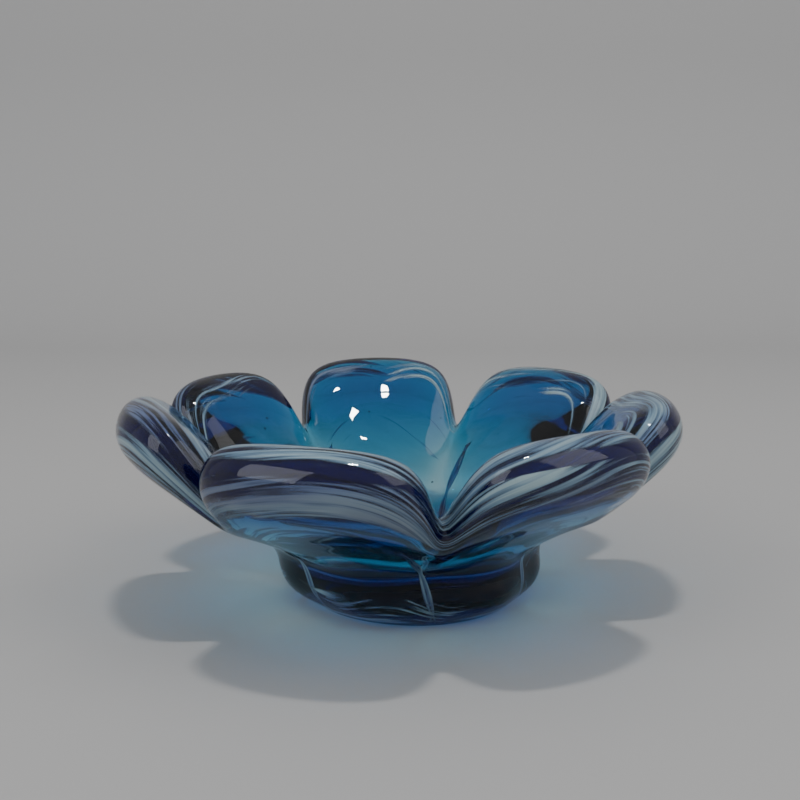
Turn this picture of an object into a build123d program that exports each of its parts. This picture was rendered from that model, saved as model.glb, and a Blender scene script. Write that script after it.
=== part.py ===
"""Hand-tooled art glass bowl: seven thick lobes rising from a low drum foot.

A core of aqua glass is cased in clear glass. Threads of cobalt and opal glass lie in the
casing: along the rolled lip, through the notches and down to the foot. The foot was ground
flat through the casing, so the core shows underneath.
Millimetres, +Z up, the foot's flat underside on Z = 0 and the bowl's axis on Z.
"""
from build123d import *
from math import cos, floor, pi, radians, sin
import os

# Overall sizes
lobe_reach = 79.5        # from the axis to the outermost edge of a lobe
lobe_top = 57.5          # height of a lobe's lip
lobe_lip = 16            # thickness of the rolled lip at a lobe
notch_reach = 62         # from the axis to the lip in a notch
notch_top = 37.5         # height of the lip in a notch
notch_lip = 8            # thickness of the lip where a notch pinches it
foot_radius = 36.5       # the drum foot at its widest
foot_height = 16         # where the foot's side turns out into the wall
foot_corner = 8.5        # how far the flat underside stops inside the foot's side
foot_shift = 4           # the foot was pulled this far to +X
floor_height = 15        # top of the thick floor inside the bowl
well_wall = 10.7         # glass between the top of the foot's side and the well inside it
pontil_radius = 11       # ground recess under the foot
pontil_depth = 1.2
dimple_radius = 16       # shallow dish pressed into the middle of the floor
dimple_depth = 2
foot_flat = foot_radius - foot_corner

# Glass layers
casing_layer = 2.4       # clear glass outside the aqua core
thread_thick = 1.1
thread_lift = 0.85       # clear glass between the core and a thread
thread_depth = casing_layer - thread_lift - thread_thick / 2

# The threads round the bowl: where each lies, as a share of the outline's length, and its
# width on a lobe and in a notch
ring_threads = {
    "cobalt_lip_thread": (0.462, 6.4, 3),
    "cobalt_under_thread": (0.345, 2.4, 1.6),
    "opal_over_thread": (0.545, 4.6, 2.2),
    "opal_under_thread": (0.39, 4.8, 2.2),
    "opal_foot_thread": (0.05, 3.2, 2.4),
}

# The thread that runs down from each notch to the foot
riser_width = 3.4
riser_top = 0.31         # where it starts and ends, as shares of the outline's length
riser_foot = 0.1
riser_lean = 0.14        # how far round it drifts on the way, as a share of a lobe
riser_taper = [0.5, 0.8, 1, 1, 0.9, 0.7, 0.4]

# Where each notch was pressed in, and how each lobe after it differs from the others
notch_angles = [-80.5, -29.1, 21.3, 71.3, 122.2, 169.7, 224.1]
lobe_stretch = [1, 0.975, 1, 1, 0.95, 0.975, 1]
lobe_lift = [0, 0, -1, 0, -1, 1, -1]
lobes = len(notch_angles)

# How the outline goes from a notch to a lobe's middle: 1 is a plain wave, less is a
# narrower notch between flatter lobes. One value for each point of the outline.
notch_spread = [0.9, 0.9, 0.9, 0.9, 0.9, 0.85, 0.75, 0.65, 0.45,
                0.31, 0.26, 0.27, 0.35, 0.5, 0.66, 0.85, 0.9]
stations = 10            # sections from one notch to the next
crowding = 0.5           # how much closer a thread's sections stand in the notches: 0 is even
hub_radius = 12          # the lobed ring is lofted outside this radius
overrun = 1.5            # how far shapes run past where they are trimmed or joined


def between(start, end, across, up):
    """The point at these shares of the way from start to end."""
    return (start[0] + (end[0] - start[0]) * across, start[1] + (end[1] - start[1]) * up)


def outline(reach, top, lip, foot):
    """Radius and height of the glass from under the foot, over the lip, to the floor."""
    half = lip / 2
    middle = (reach - half, top - half)

    def on_lip(outward, up):
        return (middle[0] + outward * half, middle[1] + up * half)

    collar = (foot + 1.2, foot_height)
    under_lip = on_lip(0.4, -1.05)
    inside_lip = on_lip(-1.2, 0.4)
    floor_edge = (hub_radius, floor_height)
    well_edge = (collar[0] - well_wall, between(floor_edge, inside_lip, 0, 0.11)[1])
    return [
        (foot_flat - 2, -overrun),
        (foot_flat + 0.8, overrun / 2),
        (foot - 2.5, foot_height / 4),
        (foot, foot_height * 0.58),
        collar,
        between(collar, under_lip, 0.21, 0.3),
        between(collar, under_lip, 0.47, 0.55),
        between(collar, under_lip, 0.75, 0.78),
        under_lip,
        on_lip(1, -0.2),
        on_lip(0.78, 0.68),
        on_lip(-0.05, 1),
        inside_lip,
        between(well_edge, inside_lip, 0.75, 0.74),
        between(well_edge, inside_lip, 0.42, 0.42),
        well_edge,
        floor_edge,
    ]


def profile(place):
    """The outline at a place: 0 is the first notch, 0.5 the first lobe's middle, 1 the next
    notch and so on round the bowl. Returns its angle and its points."""
    lobe = floor(place) % lobes
    share = place - floor(place)
    start = notch_angles[lobe]
    turn = (notch_angles[(lobe + 1) % lobes] - start) % 360
    angle = start + turn * share

    reach = lobe_reach * lobe_stretch[lobe]
    lobe_points = outline(reach, lobe_top + lobe_lift[lobe], lobe_lip, foot_radius + 0.8)
    notch_points = outline(notch_reach, notch_top, notch_lip, foot_radius - 0.7)
    wave = sin(pi * share) ** 2
    points = []
    for spread, low, high in zip(notch_spread, notch_points, lobe_points):
        weight = wave / (wave + spread**2 * (1 - wave))
        radius, height = between(low, high, weight, weight)
        if low[0] > hub_radius:
            radius += foot_shift * cos(radians(angle)) * max(0, 1 - height / (2 * floor_height))
        points.append((radius, height))
    return angle, points


def inset(points, depth):
    """The same outline, moved into the glass by depth."""
    moved = []
    for before, point, after in zip(points, points[1:], points[2:]):
        along = Vector(after[0] - before[0], after[1] - before[1]).normalized()
        moved.append((point[0] - along.Y * depth, point[1] + along.X * depth))
    return moved


def radial_plane(angle):
    """The upright plane through the axis, its X pointing out and its Y up."""
    out = Vector(1, 0, 0).rotate(Axis.Z, angle)
    return Plane(origin=(0, 0, 0), x_dir=out, z_dir=out.cross(Vector(0, 0, 1)))


def curve(points):
    """A smooth edge through an outline's points, evenly paced so that sections match."""
    return Edge.make_spline(points, parameters=[i / (len(points) - 1) for i in range(len(points))])


def ring_section(place, depth):
    """One closed section of the lobed ring, its outline inset by depth."""
    angle, points = profile(place)
    if depth > 0:
        below = (points[0][0] - depth, -overrun)
        edge_of_floor = (hub_radius, floor_height - depth)
        points = [below] + inset(points, depth)[1:] + [edge_of_floor]
    with BuildSketch(radial_plane(angle)) as section:
        with BuildLine():
            add(curve(points))
            Polyline(points[-1], (hub_radius, points[0][1]), points[0])
        make_face()
    return section.sketch.face()


def dish(rim, depth, top, above):
    """A round dish to cut away: depth deep in the middle, its rim at top, open above it."""
    with BuildPart() as cut:
        with BuildSketch(Plane.XZ):
            with BuildLine():
                TangentArc((0, top - depth), (rim, top), tangent=(1, 0))
                Polyline((rim, top), (rim, top + above), (0, top + above), (0, top - depth))
            make_face()
        revolve()
    return cut.part


def glass_body(depth):
    """The bowl's shape down to its ground foot, its surface moved into the glass by depth."""
    floor_top = floor_height - depth
    dimple = dish(dimple_radius, dimple_depth, floor_top, 2 * overrun)
    pontil = dish(pontil_radius, pontil_depth, 0, overrun)
    sections = [ring_section(i / stations, depth) for i in range(lobes * stations)]
    with BuildPart() as body:
        loft(sections=sections + sections[:1])
        with BuildSketch(Plane.XY.offset(-overrun)):
            Circle(hub_radius + overrun)
        extrude(amount=floor_top + 2 * overrun)
        split(bisect_by=Plane.XY, keep=Keep.TOP)
        add(dimple, mode=Mode.SUBTRACT)
        add(pontil.mirror(Plane.XY), mode=Mode.SUBTRACT)
    return body.part


def spaced(start, end, count):
    """count evenly spaced values from start to end."""
    return [start + (end - start) * i / (count - 1) for i in range(count)]


def under_surface(place, share):
    """A spot thread_depth inside the surface, at a place round the bowl and a share of the
    outline's length: the radial plane there, the spot and the outline's direction."""
    angle, points = profile(place)
    edge = curve(points)
    plane = radial_plane(angle)
    along = edge.tangent_at(share)
    inside = edge.position_at(share) + Vector(-along.Y, along.X) * thread_depth
    spot = plane.from_local_coords(inside)
    return plane, spot, plane.from_local_coords(inside + along) - spot


def flat_section(place, width):
    """A six-sided section of a flat thread, thinned towards its edges."""
    edge = width / 2
    shoulder = width / 4
    half = thread_thick / 2
    with BuildSketch(place) as section:
        with BuildLine():
            Polyline((-edge, 0), (-shoulder, -half), (shoulder, -half), (edge, 0),
                     (shoulder, half), (-shoulder, half), close=True)
        make_face()
    return section.sketch.face()


def ring_thread(share, lobe_width, notch_width):
    """A flat thread of glass right round the bowl, under the surface at a share of the
    outline's length. It swells on each lobe and narrows through each notch."""
    sections = []
    for i in range(lobes * stations):
        place = i / stations - crowding * sin(2 * pi * i / stations) / (2 * pi)
        plane, spot, along = under_surface(place, share)
        width = notch_width + (lobe_width - notch_width) * sin(pi * place) ** 2
        sections.append(flat_section(Plane(origin=spot, x_dir=along, z_dir=plane.z_dir), width))
    with BuildPart() as ring:
        loft(sections=sections + sections[:1])
    return ring.part


def riser(notch):
    """A flat thread drawn from under the lip beside a notch, leaning down to the foot below it."""
    count = len(riser_taper) + 2
    places = spaced(notch - riser_lean, notch, count)
    shares = spaced(riser_top, riser_foot, count)
    spots = [under_surface(place, share)[1] for place, share in zip(places, shares)]
    with BuildPart() as strand:
        for before, spot, after, taper in zip(spots, spots[1:], spots[2:], riser_taper):
            along = (after - before).normalized()
            sideways = Vector(0, 0, 1).cross(spot)
            across = sideways - along * sideways.dot(along)
            with BuildSketch(Plane(origin=spot, x_dir=across, z_dir=along)):
                Ellipse(riser_width / 2 * taper, thread_thick / 2 * taper)
        loft()
    return strand.part


pieces = {"aqua_core": glass_body(casing_layer)}
pieces["clear_casing"] = glass_body(0).cut(pieces["aqua_core"])
for name, (share, lobe_width, notch_width) in ring_threads.items():
    pieces[name] = ring_thread(share, lobe_width, notch_width)
for notch in range(lobes):
    pieces[f"opal_riser_{notch + 1}"] = riser(notch)

os.makedirs("parts", exist_ok=True)
for name, piece in pieces.items():
    piece.label = name
    export_step(piece, f"parts/{name}.step")
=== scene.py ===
# %% [markdown]
# # An art glass bowl with seven folded lobes
#
# The real bowl is blown and tooled by hand. A maker gathers aqua glass, rolls threads of
# opal and cobalt glass onto it, dips it in clear glass and spins it open. Then each notch
# is pressed in while the rim is soft. This lesson builds it the same way, from the inside
# of the glass outwards: one outline, bent by one formula, gives every layer.

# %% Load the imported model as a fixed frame
from math import cos, pi, radians, sin

import bmesh
import bpy
import numpy as np
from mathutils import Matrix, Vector


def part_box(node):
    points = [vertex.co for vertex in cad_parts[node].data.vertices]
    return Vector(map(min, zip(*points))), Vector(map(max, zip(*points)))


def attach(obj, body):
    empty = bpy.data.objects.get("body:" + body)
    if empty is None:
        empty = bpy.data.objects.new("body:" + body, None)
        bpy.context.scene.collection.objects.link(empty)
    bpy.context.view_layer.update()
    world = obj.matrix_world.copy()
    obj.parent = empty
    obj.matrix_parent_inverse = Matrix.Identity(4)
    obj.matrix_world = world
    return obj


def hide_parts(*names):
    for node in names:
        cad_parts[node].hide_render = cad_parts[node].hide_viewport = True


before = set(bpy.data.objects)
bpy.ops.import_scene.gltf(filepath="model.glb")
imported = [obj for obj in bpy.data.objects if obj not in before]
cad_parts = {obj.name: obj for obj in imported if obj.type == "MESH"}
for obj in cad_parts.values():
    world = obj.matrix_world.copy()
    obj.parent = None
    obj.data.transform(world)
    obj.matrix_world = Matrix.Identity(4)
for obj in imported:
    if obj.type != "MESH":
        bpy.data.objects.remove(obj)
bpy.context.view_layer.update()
mm = 0.001
print("nodes in the frame:", len(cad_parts))

# %% [markdown]
# ## The outline and the wave
#
# The bowl has no straight line in it, so it could be sculpted or subdivided from a cage.
# A formula is steadier: one outline through the middle of a lobe, one through a notch, and
# a wave that leads from one to the other. Each point of the outline has its own width of
# notch, so the lip pinches in tightly while the wall below it only ripples.

# %% The sizes that shape the bowl
lobe_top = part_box("clear_casing")[1][2] / mm
lobe_reach = 79.5
lobe_lip = 16.0
notch_reach = 62.0
notch_top = 37.5
notch_lip = 8.0
foot_radius = 36.5
foot_height = 16.0
foot_flat = 28.0
foot_shift = 4.0
floor_height = 15.0
well_radius = 12.0       # the middle of the floor is level inside this
well_wall = 10.7         # glass between the collar and the well inside it
casing_layer = 2.3       # clear glass over the aqua core
varies_from = 38.0       # lobes differ from each other outside this radius
varies_over = 40.0       # and differ fully this much further out
inside_from = 0.8        # share along the outline where the bowl's inside begins
notch_angles = np.array([-80.5, -29.1, 21.3, 71.3, 122.2, 169.7, 224.1, 279.5])
lobe_stretch = np.array([1, 0.975, 1, 1, 0.95, 0.975, 1])
lobe_lift = np.array([-1, -1, -2, -1, -2, 0, -2])
lobes = len(lobe_lift)
print("lobes stand", round(lobe_top, 1), "mm high")


# %% The outline, from under the foot, over the lip, to the middle of the floor
def outline(reach, top, lip, foot):
    """Radius, height and spread of the notch at each point, in mm."""
    half = lip / 2
    lip_r, lip_z = reach - half, top - half
    collar = (foot + 1.2, foot_height)
    under = (lip_r + 0.4 * half, lip_z - 1.05 * half)
    inside = (lip_r - 1.2 * half, lip_z + 0.4 * half)

    def part_way(start, end, across, up):
        return start[0] + (end[0] - start[0]) * across, start[1] + (end[1] - start[1]) * up

    well = (well_radius, floor_height)
    well_edge = (collar[0] - well_wall, part_way(well, inside, 0, 0.11)[1])
    return np.array([
        (0, 1.2, 0.9),
        (9, 0.7, 0.9),
        (15, -0.6, 0.9),
        (foot_flat - 2, -0.6, 0.9),
        (foot_flat + 2.3, 1.2, 0.9),
        (foot - 2.5, foot_height / 4, 0.9),
        (foot, foot_height * 0.58, 0.9),
        (*collar, 0.9),
        (*part_way(collar, under, 0.21, 0.3), 0.85),
        (*part_way(collar, under, 0.47, 0.55), 0.75),
        (*part_way(collar, under, 0.75, 0.78), 0.65),
        (*under, 0.45),
        (lip_r + half, lip_z - 0.2 * half, 0.31),
        (lip_r + 0.78 * half, lip_z + 0.68 * half, 0.26),
        (lip_r - 0.05 * half, lip_z + half, 0.27),
        (*inside, 0.35),
        (*part_way(well_edge, inside, 0.75, 0.74), 0.5),
        (*part_way(well_edge, inside, 0.42, 0.42), 0.66),
        (*well_edge, 0.85),
        (*well, 0.9),
        (0, floor_height - 1.6, 0.9),
    ])


plain_lobe = outline(lobe_reach, lobe_top, lobe_lip, foot_radius + 0.8)
plain_notch = outline(notch_reach, notch_top, notch_lip, foot_radius - 0.7)
knots = len(plain_lobe)
print("the outline has", knots, "points")


# %% A smooth curve through the points, and the wave round the bowl
bend = np.zeros((knots, knots))
bend[range(1, knots - 1), range(1, knots - 1)] = 4
bend[range(1, knots - 1), range(0, knots - 2)] = 1
bend[range(1, knots - 1), range(2, knots)] = 1
bend[0, 0] = bend[-1, -1] = 1
second = np.zeros((knots, knots))
second[range(1, knots - 1), range(1, knots - 1)] = -12
second[range(1, knots - 1), range(0, knots - 2)] = 6
second[range(1, knots - 1), range(2, knots)] = 6
curvature = np.linalg.solve(bend, second)


def smooth(along):
    """Weights of the outline's points at each share along it, for a natural cubic spline."""
    at = np.clip(along, 0, 1) * (knots - 1)
    low = np.minimum(at.astype(int), knots - 2)
    t = (at - low)[:, None]
    flat = np.eye(knots)
    return ((1 - t) * flat[low] + t * flat[low + 1]
            + ((1 - t) ** 3 - (1 - t)) / 6 * curvature[low]
            + (t ** 3 - t) / 6 * curvature[low + 1])


def surface(place, along):
    """Points of the outer surface in metres. place counts notches round the bowl from 0 to
    7, and along goes from the foot's middle, 0, over the lip to the floor's middle, 1."""
    place = np.mod(place, lobes)
    lobe = np.floor(place).astype(int)
    share = place - lobe
    angle = np.radians(notch_angles[lobe] + (notch_angles[lobe + 1] - notch_angles[lobe]) * share)
    wave = np.sin(pi * share)[:, None] ** 2
    weight = wave / (wave + plain_lobe[:, 2] ** 2 * (1 - wave))
    outward = np.clip((plain_lobe[:, 0] - varies_from) / varies_over, 0, 1)
    r_lobe = plain_lobe[:, 0] * (1 + (lobe_stretch[lobe][:, None] - 1) * outward)
    z_lobe = plain_lobe[:, 1] + lobe_lift[lobe][:, None] * outward
    radius = plain_notch[:, 0] + (r_lobe - plain_notch[:, 0]) * weight
    height = plain_notch[:, 1] + (z_lobe - plain_notch[:, 1]) * weight
    weights = smooth(along)
    radius = np.sum(radius * weights, axis=1)
    height = np.maximum(np.sum(height * weights, axis=1), 0)
    shift = foot_shift * np.clip(1 - height / (2 * floor_height), 0, 1) * (along < inside_from)
    x = radius * np.cos(angle) + shift
    return np.stack([x, radius * np.sin(angle), height], axis=1) * mm


def near_notch(place):
    """1 in a notch, falling away quickly on either side of it."""
    return np.cos(pi * place) ** 8


def inside_glass(place, along, depth):
    """The same points, moved into the glass by a depth in mm."""
    step = 0.002
    along = np.clip(along, step * 2, 1 - step * 2)
    point = surface(place, along)
    around = surface(place + step, along) - surface(place - step, along)
    over = surface(place, along + step) - surface(place, along - step)
    out = np.cross(around, over)
    out /= np.linalg.norm(out, axis=1)[:, None] + 1e-12
    return point - out * np.asarray(depth).reshape(-1, 1) * mm


print("a lobe's lip is at", surface(np.array([3.5]), np.array([0.62])).round(4))

# %% [markdown]
# ## From a tube to the bowl
#
# Every layer starts as a plain tube, spun from a straight line, whose height counts the way
# along the outline. Bending that tube onto the surface gives a closed, evenly quilted mesh,
# and the tube's own coordinates stay on it as an attribute that the streaks follow.


# %% Spin a tube and bend it onto the surface
def tube(across, around):
    """A tube of radius 1 and height 1 in a mesh."""
    bm = bmesh.new()
    line = [bm.verts.new((1, 0, i / across)) for i in range(across + 1)]
    edges = [bm.edges.new(pair) for pair in zip(line, line[1:])]
    bmesh.ops.spin(bm, geom=line + edges, axis=(0, 0, 1), cent=(0, 0, 0), angle=2 * pi,
                   steps=around, use_merge=True)
    return bm


def read_points(mesh):
    points = np.empty(len(mesh.vertices) * 3)
    mesh.vertices.foreach_get("co", points)
    return points.reshape(-1, 3)


def tube_place(points):
    """Where each point of a tube is: its place round the bowl and its share along."""
    angle = np.degrees(np.arctan2(points[:, 1], points[:, 0]))
    angle = np.mod(angle - notch_angles[0], 360) + notch_angles[0]
    place = np.interp(angle, notch_angles, np.arange(lobes + 1))
    return place, points[:, 2]


def finish_piece(name, mesh, flow):
    """Store the streaks' coordinates, close the poles, shade smooth and link the piece."""
    held = mesh.attributes.new("flow", "FLOAT_VECTOR", "POINT")
    held.data.foreach_set("vector", flow.astype(np.float32).ravel())
    bm = bmesh.new()
    bm.from_mesh(mesh)
    bmesh.ops.remove_doubles(bm, verts=bm.verts, dist=0.00002)
    bmesh.ops.recalc_face_normals(bm, faces=bm.faces)
    for face in bm.faces:
        face.smooth = True
    open_edges = sum(1 for edge in bm.edges if not edge.is_manifold)
    bm.to_mesh(mesh)
    bm.free()
    piece = bpy.data.objects.new(name, mesh)
    bpy.context.scene.collection.objects.link(piece)
    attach(piece, "root")
    print(name, "has", len(mesh.polygons), "faces and", open_edges, "open edges")
    return piece


def flow_of(place, along):
    """Coordinates that run with the rim: two round the bowl, so that they meet without a
    seam, and one across it that sweeps towards each notch."""
    turn = place * 2 * pi / lobes
    sweep = 0.020 * np.sin(2 * pi * place + 0.6) + 0.012 * np.sin(turn * 3 + 1)
    return np.stack([np.cos(turn), np.sin(turn), along + sweep], axis=1)


def layer(name, across, around, depth):
    """A closed layer all over the bowl, at a depth in the glass."""
    bm = tube(across, around)
    mesh = bpy.data.meshes.new(name)
    bm.to_mesh(mesh)
    bm.free()
    place, along = tube_place(read_points(mesh))
    if depth == 0:
        points = surface(place, along)
    else:
        lip = np.exp(-((along - 0.66) / 0.09) ** 2)
        points = inside_glass(place, along, depth * (1 - 0.4 * lip * near_notch(place)))
    mesh.vertices.foreach_set("co", points.ravel())
    return finish_piece(name, mesh, flow_of(place, along))


casing = layer("clear_casing_glass", 190, 420, 0)
core = layer("aqua_core_glass", 110, 280, casing_layer)

# %% [markdown]
# ## Threads of coloured glass
#
# On the real bowl the threads are rods melted onto the gather, so they lie between the aqua
# core and the clear casing and run with the rim wherever the tools dragged it. Curves with a
# bevel would sit stiffly on top. A thin closed band bent onto the same surface, a little
# deeper, follows every fold, and its streaks are left to the material.


# %% A band all round the bowl
def hold(mesh, name, values):
    """Keep one number for each point of a mesh, for the materials to read."""
    held = mesh.attributes.new(name, "FLOAT", "POINT")
    held.data.foreach_set("value", np.asarray(values, dtype=np.float32))


def lobe_by_lobe(place, shares):
    """A value for each lobe in turn, blended smoothly across the notches."""
    middles = np.arange(-1, lobes + 1) + 0.5
    return np.interp(place, middles, [shares[-1], *shares, shares[0]])


def band(name, node, on_lobe, in_notch, depth, shares, thickness=0.25, across=26, around=420):
    """A thin closed band at a depth in the glass. on_lobe and in_notch are the shares of the
    outline that it runs between, and shares says how much of it each lobe has."""
    bm = bmesh.new()
    up = [i / across for i in range(across + 1)]
    ring = [bm.verts.new((1, 0, z)) for z in up] + [bm.verts.new((0.9, 0, z)) for z in reversed(up)]
    edges = [bm.edges.new(pair) for pair in zip(ring, ring[1:] + ring[:1])]
    bmesh.ops.spin(bm, geom=ring + edges, axis=(0, 0, 1), cent=(0, 0, 0), angle=2 * pi,
                   steps=around, use_merge=True)
    mesh = bpy.data.meshes.new(name)
    bm.to_mesh(mesh)
    bm.free()
    start = read_points(mesh)
    place, up = tube_place(start)
    pinch = near_notch(place)
    low = on_lobe[0] + (in_notch[0] - on_lobe[0]) * pinch
    high = on_lobe[1] + (in_notch[1] - on_lobe[1]) * pinch
    along = low + (high - low) * up
    inner = np.hypot(start[:, 0], start[:, 1]) < 0.95
    points = inside_glass(place, along, (depth + thickness * inner) * (1 - 0.45 * pinch))
    mesh.vertices.foreach_set("co", points.ravel())
    hold(mesh, "across", up)
    hold(mesh, "amount", lobe_by_lobe(place, shares))
    piece = finish_piece(name, mesh, flow_of(place, along))
    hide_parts(node)
    return piece


opal_over = band("opal_over_lip", "opal_over_thread", (0.655, 0.76), (0.645, 0.75), 0.8,
                 [1, 1, 0.7, 0.6, 0.8, 1, 1])
opal_under = band("opal_under_lip", "opal_under_thread", (0.55, 0.635), (0.565, 0.65), 0.8,
                  [1, 0.9, 0.4, 0.3, 0.5, 1, 1])
cobalt_lip = band("cobalt_lip", "cobalt_lip_thread", (0.58, 0.70), (0.60, 0.68), 1.5,
                  [1, 0.9, 0.3, 0.15, 0.5, 0.9, 1])
cobalt_under = band("cobalt_under_lip", "cobalt_under_thread", (0.44, 0.52), (0.46, 0.54), 1.5,
                    [0.7, 0.5, 0.2, 0.2, 0.4, 0.8, 0.6])
opal_foot = band("opal_foot", "opal_foot_thread", (0.21, 0.31), (0.20, 0.30), 0.8,
                 [0.6, 0.4, 0.4, 0.4, 0.5, 1, 1])


# %% Risers, drawn from beside each notch down to the foot
riser_low, riser_high = 0.215, 0.48     # shares of the outline that a riser runs between
riser_width = 0.035                     # and its half width and lean, as shares of a lobe
riser_lean = 0.16


def riser(notch):
    """A thin ribbon of opal that starts beside a notch and leans to the foot below it."""
    name = f"opal_riser_{notch + 1}"
    bm = bmesh.new()
    bmesh.ops.create_grid(bm, x_segments=10, y_segments=50, size=1)
    mesh = bpy.data.meshes.new(name)
    bm.to_mesh(mesh)
    grid = read_points(mesh)
    up = (grid[:, 1] + 1) / 2
    width = riser_width * (0.4 + 0.6 * np.abs(np.cos(2.5 * pi * up + 0.4)))
    place = notch - 0.01 - riser_lean * up ** 1.5 + width * grid[:, 0]
    along = riser_low + (riser_high - riser_low) * up
    flow = np.stack([grid[:, 0], up, along], axis=1)
    points = inside_glass(place, along, np.full(len(place), 0.9))
    mesh.vertices.foreach_set("co", points.ravel())
    bm.clear()
    bm.from_mesh(mesh)
    bmesh.ops.solidify(bm, geom=bm.faces[:], thickness=0.3 * mm)
    bm.to_mesh(mesh)
    bm.free()
    flow = np.concatenate([flow, flow])[:len(mesh.vertices)]
    hold(mesh, "across", (flow[:, 0] + 1) / 2)
    hold(mesh, "amount", np.ones(len(flow)))
    piece = finish_piece(name, mesh, flow)
    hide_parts(name)
    return piece


risers = [riser(notch) for notch in range(lobes)]
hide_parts("clear_casing")
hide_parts("aqua_core")


# %% Seed bubbles caught in the glass
seed_count = 70


def bubbles(count):
    """Small round bubbles just under the surface, at seeded random places."""
    rng = np.random.default_rng(7)
    bm = bmesh.new()
    place = rng.uniform(0, lobes, count)
    along = rng.uniform(0.3, 0.78, count)
    centres = inside_glass(place, along, rng.uniform(1.2, 2.0, count))
    for centre, size in zip(centres, rng.uniform(0.15, 0.5, count) * mm):
        made = bmesh.ops.create_icosphere(bm, subdivisions=2, radius=size)
        bmesh.ops.translate(bm, verts=made["verts"], vec=centre)
    mesh = bpy.data.meshes.new("seed_bubbles")
    bm.to_mesh(mesh)
    bm.free()
    return finish_piece("seed_bubbles", mesh, read_points(mesh))


seeds = bubbles(seed_count)
print("threads:", 5 + len(risers), "and", seed_count, "seed bubbles")

# %% [markdown]
# ## Shader maths as expressions
#
# Node trees are easier to read as sums than as wires, so a small class wraps a socket.


# %% A socket that can be added up
class Value:
    def __init__(self, tree, socket):
        self.tree, self.socket = tree, socket

    def math(self, operation, *others, first=True):
        node = self.tree.nodes.new("ShaderNodeMath")
        node.operation = operation
        values = [self, *others] if first else [*others, self]
        for slot, value in zip(node.inputs, values):
            if isinstance(value, Value):
                self.tree.links.new(value.socket, slot)
            else:
                slot.default_value = value
        return Value(self.tree, node.outputs[0])

    def __add__(self, other): return self.math("ADD", other)
    def __radd__(self, other): return self.math("ADD", other)
    def __sub__(self, other): return self.math("SUBTRACT", other)
    def __rsub__(self, other): return self.math("SUBTRACT", other, first=False)
    def __mul__(self, other): return self.math("MULTIPLY", other)
    def __rmul__(self, other): return self.math("MULTIPLY", other)


class Finish:
    """A material under construction."""
    def __init__(self, name):
        self.material = bpy.data.materials.new(name)
        self.material.use_nodes = True
        self.tree = self.material.node_tree
        self.tree.nodes.clear()
        self.output = self.tree.nodes.new("ShaderNodeOutputMaterial")

    def node(self, kind, settings=None, inputs=None, out=0):
        made = self.tree.nodes.new("ShaderNode" + kind)
        for key, value in (settings or {}).items():
            if key == "stops":
                ramp = made.color_ramp.elements
                while len(ramp) < len(value):
                    ramp.new(0.5)
                for stop, (position, colour) in zip(ramp, value):
                    stop.position = position
                    stop.color = colour
            else:
                setattr(made, key, value)
        for key, value in (inputs or {}).items():
            if isinstance(value, Value):
                self.tree.links.new(value.socket, made.inputs[key])
            else:
                made.inputs[key].default_value = value
        return Value(self.tree, made.outputs[out])

    def surface(self, shader):
        self.tree.links.new(shader.socket, self.output.inputs["Surface"])

    def volume(self, shader):
        self.tree.links.new(shader.socket, self.output.inputs["Volume"])

    def give(self, *pieces):
        for piece in pieces:
            piece.data.materials.clear()
            piece.data.materials.append(self.material)


print("shader tools ready")

# %% [markdown]
# ## Clear casing
#
# Clear glass is a boundary, not a colour: light bends on the way in and out. The Principled
# shader with full transmission does that. A path tracer can't find small lamps through bent
# glass, so shadow rays pass straight through the casing, which lights the threads inside.
# Tools leave the surface slightly wavy, and a shallow bump stands for that.

# %% Clear casing, and the air in the bubbles
clear = Finish("clear_glass")
place_on = clear.node("TexCoord", out="Object")
ripple = clear.node("TexNoise", {"noise_dimensions": "3D"}, {
    "Vector": place_on, "Scale": 38.0, "Detail": 1.0, "Roughness": 0.4, "Distortion": 0.8})
wavy = clear.node("Bump", inputs={"Height": ripple, "Strength": 0.3, "Distance": 0.0025})
glass = clear.node("BsdfPrincipled", inputs={
    "Base Color": (0.93, 0.97, 0.98, 1), "Roughness": 0.0, "IOR": 1.5,
    "Transmission Weight": 1.0, "Normal": wavy})
let_through = clear.node("BsdfTransparent", inputs={"Color": (0.36, 0.36, 0.36, 1)})
is_shadow = clear.node("LightPath", out="Is Shadow Ray")
clear.surface(clear.node("MixShader", inputs={0: is_shadow, 1: glass, 2: let_through}))
clear.give(casing)

air = Finish("bubble_air")
air.surface(air.node("BsdfPrincipled", inputs={
    "Base Color": (1, 1, 1, 1), "Roughness": 0.0, "IOR": 0.667, "Transmission Weight": 1.0}))
air.give(seeds)
print("clear casing done")

# %% [markdown]
# ## Aqua core
#
# The core's colour comes from depth: thin glass looks turquoise and thick glass deep blue.
# Absorption in the volume does exactly that. Core and casing bend light alike, so the
# surface between them is left transparent.

# %% Aqua core
aqua = Finish("aqua_glass")
aqua.surface(aqua.node("BsdfTransparent", inputs={"Color": (1, 1, 1, 1)}))
aqua.volume(aqua.node("VolumeAbsorption", inputs={"Color": (0.0, 0.72, 0.90, 1), "Density": 420.0}))
aqua.give(core)
print("aqua core done")

# %% [markdown]
# ## Opal and cobalt
#
# Streaks are noise drawn out along the rim. The flow attribute gives coordinates that run
# with it, so a noise that is coarse round the bowl and fine across it makes long threads.
# The same noise decides where the band is milky, where it thins, and where it breaks.


# %% Streaky threads
def streaks(finish, round_scale, cross_scale, seed, detail=4.0, distort=0.6):
    """Noise from 0 to 1, coarse round the bowl and fine across the band."""
    flow = finish.node("Attribute", {"attribute_name": "flow"}, out="Vector")
    turned = finish.node("Mapping", inputs={
        "Vector": flow, "Scale": (round_scale, round_scale, cross_scale), "Location": (seed, seed, seed)})
    return finish.node("TexNoise", {"noise_dimensions": "3D"}, {
        "Vector": turned, "Scale": 1.0, "Detail": detail, "Roughness": 0.55, "Distortion": distort})


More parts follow.
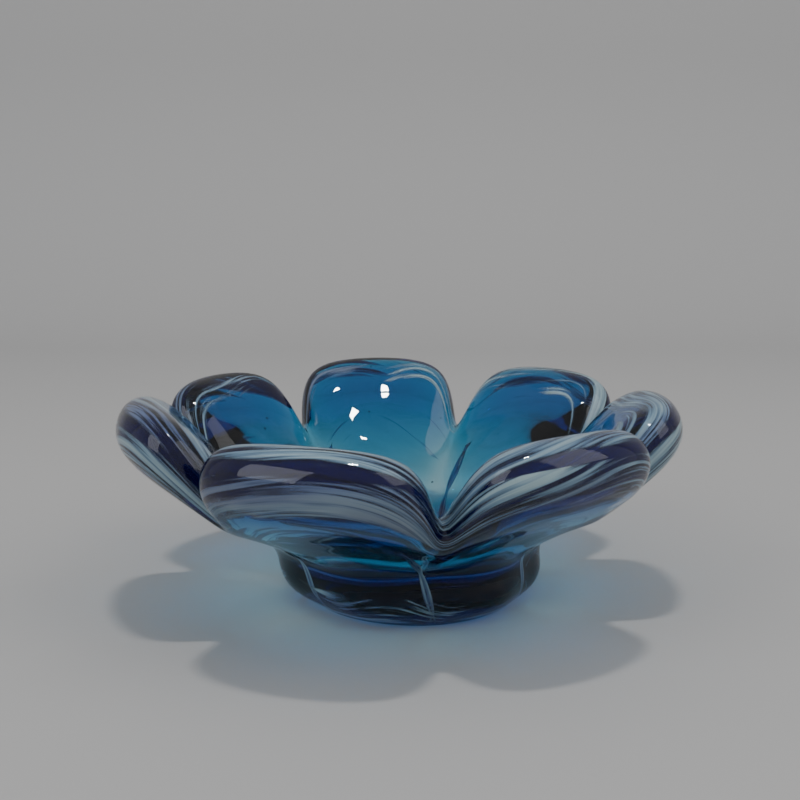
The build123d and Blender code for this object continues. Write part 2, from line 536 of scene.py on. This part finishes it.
def step_up(value, low, high):
    """0 below low, 1 above high, and smooth between."""
    node = value.tree.nodes.new("ShaderNodeMapRange")
    node.interpolation_type = "SMOOTHSTEP"
    node.clamp = True
    node.inputs["From Min"].default_value = low
    node.inputs["From Max"].default_value = high
    value.tree.links.new(value.socket, node.inputs["Value"])
    return Value(value.tree, node.outputs[0])


def mix_colour(finish, factor, first, second):
    """first where the factor is 0, and second where it is 1."""
    node = finish.tree.nodes.new("ShaderNodeMix")
    node.data_type = "RGBA"
    for slot, value in ((0, factor), (6, first), (7, second)):
        if isinstance(value, Value):
            finish.tree.links.new(value.socket, node.inputs[slot])
        else:
            node.inputs[slot].default_value = value
    return Value(finish.tree, node.outputs[2])


def thread_finish(name, stops, seed, cover, dusk, tint=None, cross=30.0, rounded=1.0):
    """Coloured glass thread. stops colour its streaks, cover is how much of the band they
    fill, and dusk is the colour that some stretches turn to. tint is what it lets through."""
    finish = Finish(name)
    broad = streaks(finish, rounded, cross, seed)
    fine = streaks(finish, rounded * 2.0, cross * 4.0, seed + 5, detail=2.0, distort=0.2)
    drift = streaks(finish, 1.0, 6.0, seed + 9, detail=1.0)
    shade = broad * 0.55 + fine * 0.45
    colour = finish.node("ValToRGB", {"stops": stops}, {"Fac": shade})
    colour = mix_colour(finish, step_up(drift, 0.46, 0.62) * 0.7, colour, dusk)
    across = finish.node("Attribute", {"attribute_name": "across"}, out="Fac")
    amount = finish.node("Attribute", {"attribute_name": "amount"}, out="Fac")
    heart = step_up(across * (1 - across) * 4 + (broad - 0.5) * 1.6, 0.05, 0.45)
    strength = broad * 0.5 + fine * 0.5 - (1 - amount) * 0.22
    mask = step_up(strength, 0.60 - 0.3 * cover, 0.70 - 0.3 * cover) * heart
    body = finish.node("BsdfPrincipled", inputs={
        "Base Color": colour, "Roughness": 0.6, "Specular IOR Level": 0.0})
    if tint:
        stain = finish.node("BsdfTransparent", inputs={"Color": tint})
        body = finish.node("MixShader", inputs={0: 0.3, 1: stain, 2: body})
    gap = finish.node("BsdfTransparent", inputs={"Color": (1, 1, 1, 1)})
    finish.surface(finish.node("MixShader", inputs={0: mask, 1: gap, 2: body}))
    return finish


milk = [(0.41, (0.04, 0.05, 0.18, 1)), (0.47, (0.13, 0.21, 0.35, 1)),
        (0.53, (0.24, 0.38, 0.52, 1)), (0.62, (0.52, 0.67, 0.71, 1))]
navy = [(0.35, (0.008, 0.004, 0.16, 1)), (0.55, (0.014, 0.010, 0.26, 1)),
        (0.75, (0.02, 0.06, 0.42, 1))]
plum = (0.11, 0.13, 0.30, 1)
ink = (0.008, 0.005, 0.13, 1)
thread_finish("opal_glass", milk, 1.0, 0.52, plum).give(opal_over)
thread_finish("opal_glass_under", milk, 4.0, 0.45, plum).give(opal_under)
thread_finish("opal_glass_foot", milk, 9.0, 0.42, plum, cross=26.0).give(opal_foot)
thread_finish("opal_glass_riser", milk, 12.0, 0.75, plum, cross=3.0, rounded=0.8).give(*risers)
deep_blue = (0.02, 0.04, 0.40, 1)
thread_finish("cobalt_glass", navy, 20.0, 1.0, ink, tint=deep_blue).give(cobalt_lip)
thread_finish("cobalt_glass_under", navy, 26.0, 0.6, ink, tint=deep_blue).give(cobalt_under)
print("threads coloured")

# %% [markdown]
# ## Floor, light and camera
#
# Glass shows its room, so a plain sweep of pale floor and wall is enough to see through it.
# A small lamp overhead gives small bright marks, two broad ones on either side of the viewer
# light the bowl softly, and a pale sky fills the rest.


# %% Floor and wall in one sweep
def sweep_floor():
    bm = bmesh.new()
    bend_radius = 0.25
    line = [(-1.5, 0.0), (0.55, 0.0)]
    line += [(0.55 + bend_radius * sin(a), bend_radius * (1 - cos(a)))
             for a in (radians(90 * i / 12) for i in range(1, 13))]
    line += [(0.8, 1.6)]
    verts = [bm.verts.new((-2.0, y, z)) for y, z in line]
    edges = [bm.edges.new(pair) for pair in zip(verts, verts[1:])]
    out = bmesh.ops.extrude_edge_only(bm, edges=edges)
    moved = [v for v in out["geom"] if isinstance(v, bmesh.types.BMVert)]
    bmesh.ops.translate(bm, verts=moved, vec=(4.0, 0, 0))
    bmesh.ops.recalc_face_normals(bm, faces=bm.faces)
    for face in bm.faces:
        face.smooth = True
    mesh = bpy.data.meshes.new("floor")
    bm.to_mesh(mesh)
    bm.free()
    floor = bpy.data.objects.new("floor", mesh)
    bpy.context.scene.collection.objects.link(floor)
    paint = Finish("floor_paint")
    paint.surface(paint.node("BsdfPrincipled", inputs={
        "Base Color": (0.50, 0.495, 0.49, 1), "Roughness": 0.7}))
    paint.give(floor)
    return floor


floor = sweep_floor()


def lamp(name, place, aim, width, height, watts, colour=(1, 1, 1)):
    """A flat rectangular lamp at a place, turned towards aim."""
    data = bpy.data.lights.new(name, "AREA")
    data.shape = "RECTANGLE"
    data.size, data.size_y, data.energy, data.color = width, height, watts, colour
    light = bpy.data.objects.new(name, data)
    bpy.context.scene.collection.objects.link(light)
    light.location = place
    light.rotation_euler = (Vector(aim) - Vector(place)).to_track_quat("-Z", "Y").to_euler()
    return light


lamp("overhead", (0.02, -0.14, 0.95), (0, 0, 0), 0.09, 0.04, 2.5, (1, 0.97, 0.93))
lamp("window", (-1.2, -0.9, 0.9), (0, 0, 0), 1.0, 1.0, 6.0, (0.95, 0.97, 1))
lamp("fill", (1.2, -0.5, 1.2), (0, 0, 0.05), 1.2, 1.2, 6.0)

world = bpy.data.worlds.new("studio")
bpy.context.scene.world = world
world.use_nodes = True
world.node_tree.nodes["Background"].inputs["Color"].default_value = (0.80, 0.82, 0.85, 1)
world.node_tree.nodes["Background"].inputs["Strength"].default_value = 0.55

view = bpy.data.cameras.new("view")
view.lens = 50.85
view.sensor_width = 36
camera = bpy.data.objects.new("view", view)
bpy.context.scene.collection.objects.link(camera)
camera.location = (0, -0.312, 0.110)
camera.rotation_euler = (radians(90 - 9.9), 0, 0)
bpy.context.scene.camera = camera
print("stage set")
